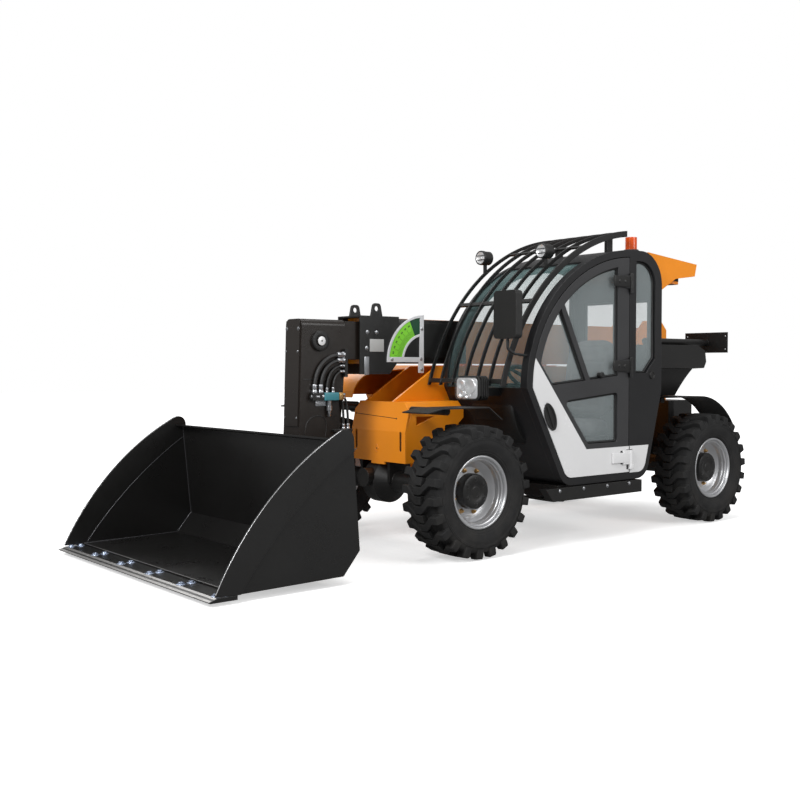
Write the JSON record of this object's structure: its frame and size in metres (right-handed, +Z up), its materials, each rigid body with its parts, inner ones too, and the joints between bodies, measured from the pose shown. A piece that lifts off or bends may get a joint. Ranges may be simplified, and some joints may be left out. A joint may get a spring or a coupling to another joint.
{
  "type": "telehandler",
  "caption": "Compact telescopic handler with an offset cab, guarded windscreen, side engine bay, telescoping boom and a wide loading bucket.",
  "frame": {"origin": "on the ground under the middle of the overall length and width", "axes": "+X forward, +Y to the operator's left, +Z up"},
  "size_m": [4.985, 1.913, 2.124],
  "materials": {
    "paint": "gloss",
    "dark": "satin",
    "glass": "gloss",
    "plastic": "matte",
    "cushion": "matte",
    "amber": "gloss",
    "white": "gloss",
    "cast": "matte",
    "steel": "satin",
    "barrel": "satin",
    "tyre": "matte",
    "rim": "satin",
    "hose": "matte"
  },
  "bodies": {
    "chassis": {"beacon": "amber", "cab_floor": "dark", "cab_glass": "glass", "cab_guard": "dark", "cab_left_frame": "dark", "cab_rear_wall": "dark", "cab_right_wall": "dark", "cab_roof": "dark", "corner_panel": "white", "engine_block": "cast", "fenders": "dark", "frame_belly": "paint", "frame_sides": "paint", "front_axle": "dark", "front_nose": "paint", "lamps": "glass", "mirror": "plastic", "plate_bracket": "dark", "rear_axle": "dark", "rear_frame": "dark", "roof_pod": "paint", "seat_back": "cushion", "seat_base": "plastic", "seat_cushion": "cushion", "side_tank": "dark", "steering_console": "plastic", "windscreen": "glass"},
    "hood": {"engine_hood": "paint", "hood_lamp": "glass"},
    "door": {"door_frame": "dark", "door_glass": "glass", "door_panel": "white", "door_handle": "plastic"},
    "boom": {"boom_outer": "paint", "boom_collar": "dark", "load_quadrant": "steel"},
    "inner_boom": {"boom_inner": "dark", "head_hoses": "hose", "head_coupler": "steel"},
    "tool": {"carriage": "dark", "bucket_shell": "dark", "bucket_sides": "dark", "cutting_edge": "steel"},
    "lift_barrel": {"lift_barrel": "barrel"},
    "lift_rod": {"lift_rod": "steel"},
    "tilt_barrel": {"tilt_barrel": "barrel"},
    "tilt_rod": {"tilt_rod": "steel"},
    "knuckle_front_left": {"knuckle_front_left": "dark"},
    "wheel_front_left": {"tyre_front_left": "tyre", "wheel_front_left": "rim"},
    "knuckle_front_right": {"knuckle_front_right": "dark"},
    "wheel_front_right": {"tyre_front_right": "tyre", "wheel_front_right": "rim"},
    "knuckle_rear_left": {"knuckle_rear_left": "dark"},
    "wheel_rear_left": {"tyre_rear_left": "tyre", "wheel_rear_left": "rim"},
    "knuckle_rear_right": {"knuckle_rear_right": "dark"},
    "wheel_rear_right": {"tyre_rear_right": "tyre", "wheel_rear_right": "rim"}
  },
  "joints": [
    {"name": "steer_front_left", "type": "hinge", "parent": "chassis", "child": "knuckle_front_left", "pos_m": [0.5775, 0.6, 0.40997], "axis": [0, 0, 1], "range_deg": [-35, 35]},
    {"name": "spin_front_left", "type": "hinge", "parent": "knuckle_front_left", "child": "wheel_front_left", "pos_m": [0.5775, 0.7475, 0.40997], "axis": [0, 1, 0], "continuous": true},
    {"name": "steer_front_right", "type": "hinge", "parent": "chassis", "child": "knuckle_front_right", "pos_m": [0.5775, -0.6, 0.40997], "axis": [0, 0, 1], "range_deg": [-35, 35]},
    {"name": "spin_front_right", "type": "hinge", "parent": "knuckle_front_right", "child": "wheel_front_right", "pos_m": [0.5775, -0.7475, 0.40997], "axis": [0, 1, 0], "continuous": true},
    {"name": "steer_rear_left", "type": "hinge", "parent": "chassis", "child": "knuckle_rear_left", "pos_m": [-1.8525, 0.6, 0.40997], "axis": [0, 0, -1], "range_deg": [-35, 35]},
    {"name": "spin_rear_left", "type": "hinge", "parent": "knuckle_rear_left", "child": "wheel_rear_left", "pos_m": [-1.8525, 0.7475, 0.40997], "axis": [0, 1, 0], "continuous": true},
    {"name": "steer_rear_right", "type": "hinge", "parent": "chassis", "child": "knuckle_rear_right", "pos_m": [-1.8525, -0.6, 0.40997], "axis": [0, 0, -1], "range_deg": [-35, 35]},
    {"name": "spin_rear_right", "type": "hinge", "parent": "knuckle_rear_right", "child": "wheel_rear_right", "pos_m": [-1.8525, -0.7475, 0.40997], "axis": [0, 1, 0], "continuous": true},
    {"name": "boom_lift", "type": "hinge", "parent": "chassis", "child": "boom", "pos_m": [-2.2025, -0.06, 1.345], "axis": [0, -1, 0], "range_deg": [0, 62]},
    {"name": "boom_extend", "type": "slide", "parent": "boom", "child": "inner_boom", "axis": [1, 0, 0], "range_m": [0, 1.7]},
    {"name": "bucket_tilt", "type": "hinge", "parent": "inner_boom", "child": "tool", "pos_m": [1.4275, -0.06, 0.3], "axis": [0, 1, 0], "range_deg": [-25, 100]},
    {"name": "door_swing", "type": "hinge", "parent": "chassis", "child": "door", "pos_m": [-0.8275, 0.899, 1], "axis": [0, 0, 1], "range_deg": [0, 150]},
    {"name": "hood_lift", "type": "hinge", "parent": "chassis", "child": "hood", "pos_m": [-0.7166, -0.228, 1.197], "axis": [-1, 0, 0], "range_deg": [0, 60]},
    {"name": "lift_barrel_swing", "type": "hinge", "parent": "chassis", "child": "lift_barrel", "pos_m": [-1.7225, -0.06, 0.605], "axis": [0, -1, 0], "range_deg": [-1, 51.16]},
    {"name": "lift_rod_slide", "type": "slide", "parent": "lift_barrel", "child": "lift_rod", "axis": [0.8813, 0, 0.4725], "range_m": [-0.005, 0.8617]},
    {"name": "tilt_barrel_swing", "type": "hinge", "parent": "inner_boom", "child": "tilt_barrel", "pos_m": [1.1975, -0.06, 1.18], "axis": [0, 1, 0], "range_deg": [-3.34, 1.58]},
    {"name": "tilt_rod_slide", "type": "slide", "parent": "tilt_barrel", "child": "tilt_rod", "axis": [0.0977, 0, -0.9952], "range_m": [-0.3093, 0.0811]}
  ],
  "couplings": [
    {"joint": "steer_front_right", "follows": "steer_front_left", "ratio": 1},
    {"joint": "steer_rear_right", "follows": "steer_rear_left", "ratio": 1},
    {"joint": "lift_barrel_swing", "follows": "boom_lift", "ratio": 0.80907},
    {"joint": "lift_rod_slide", "follows": "boom_lift", "m_per_rad": 0.79167},
    {"joint": "tilt_barrel_swing", "follows": "bucket_tilt", "ratio": -0.02338},
    {"joint": "tilt_rod_slide", "follows": "bucket_tilt", "m_per_rad": -0.17437}
  ]
}
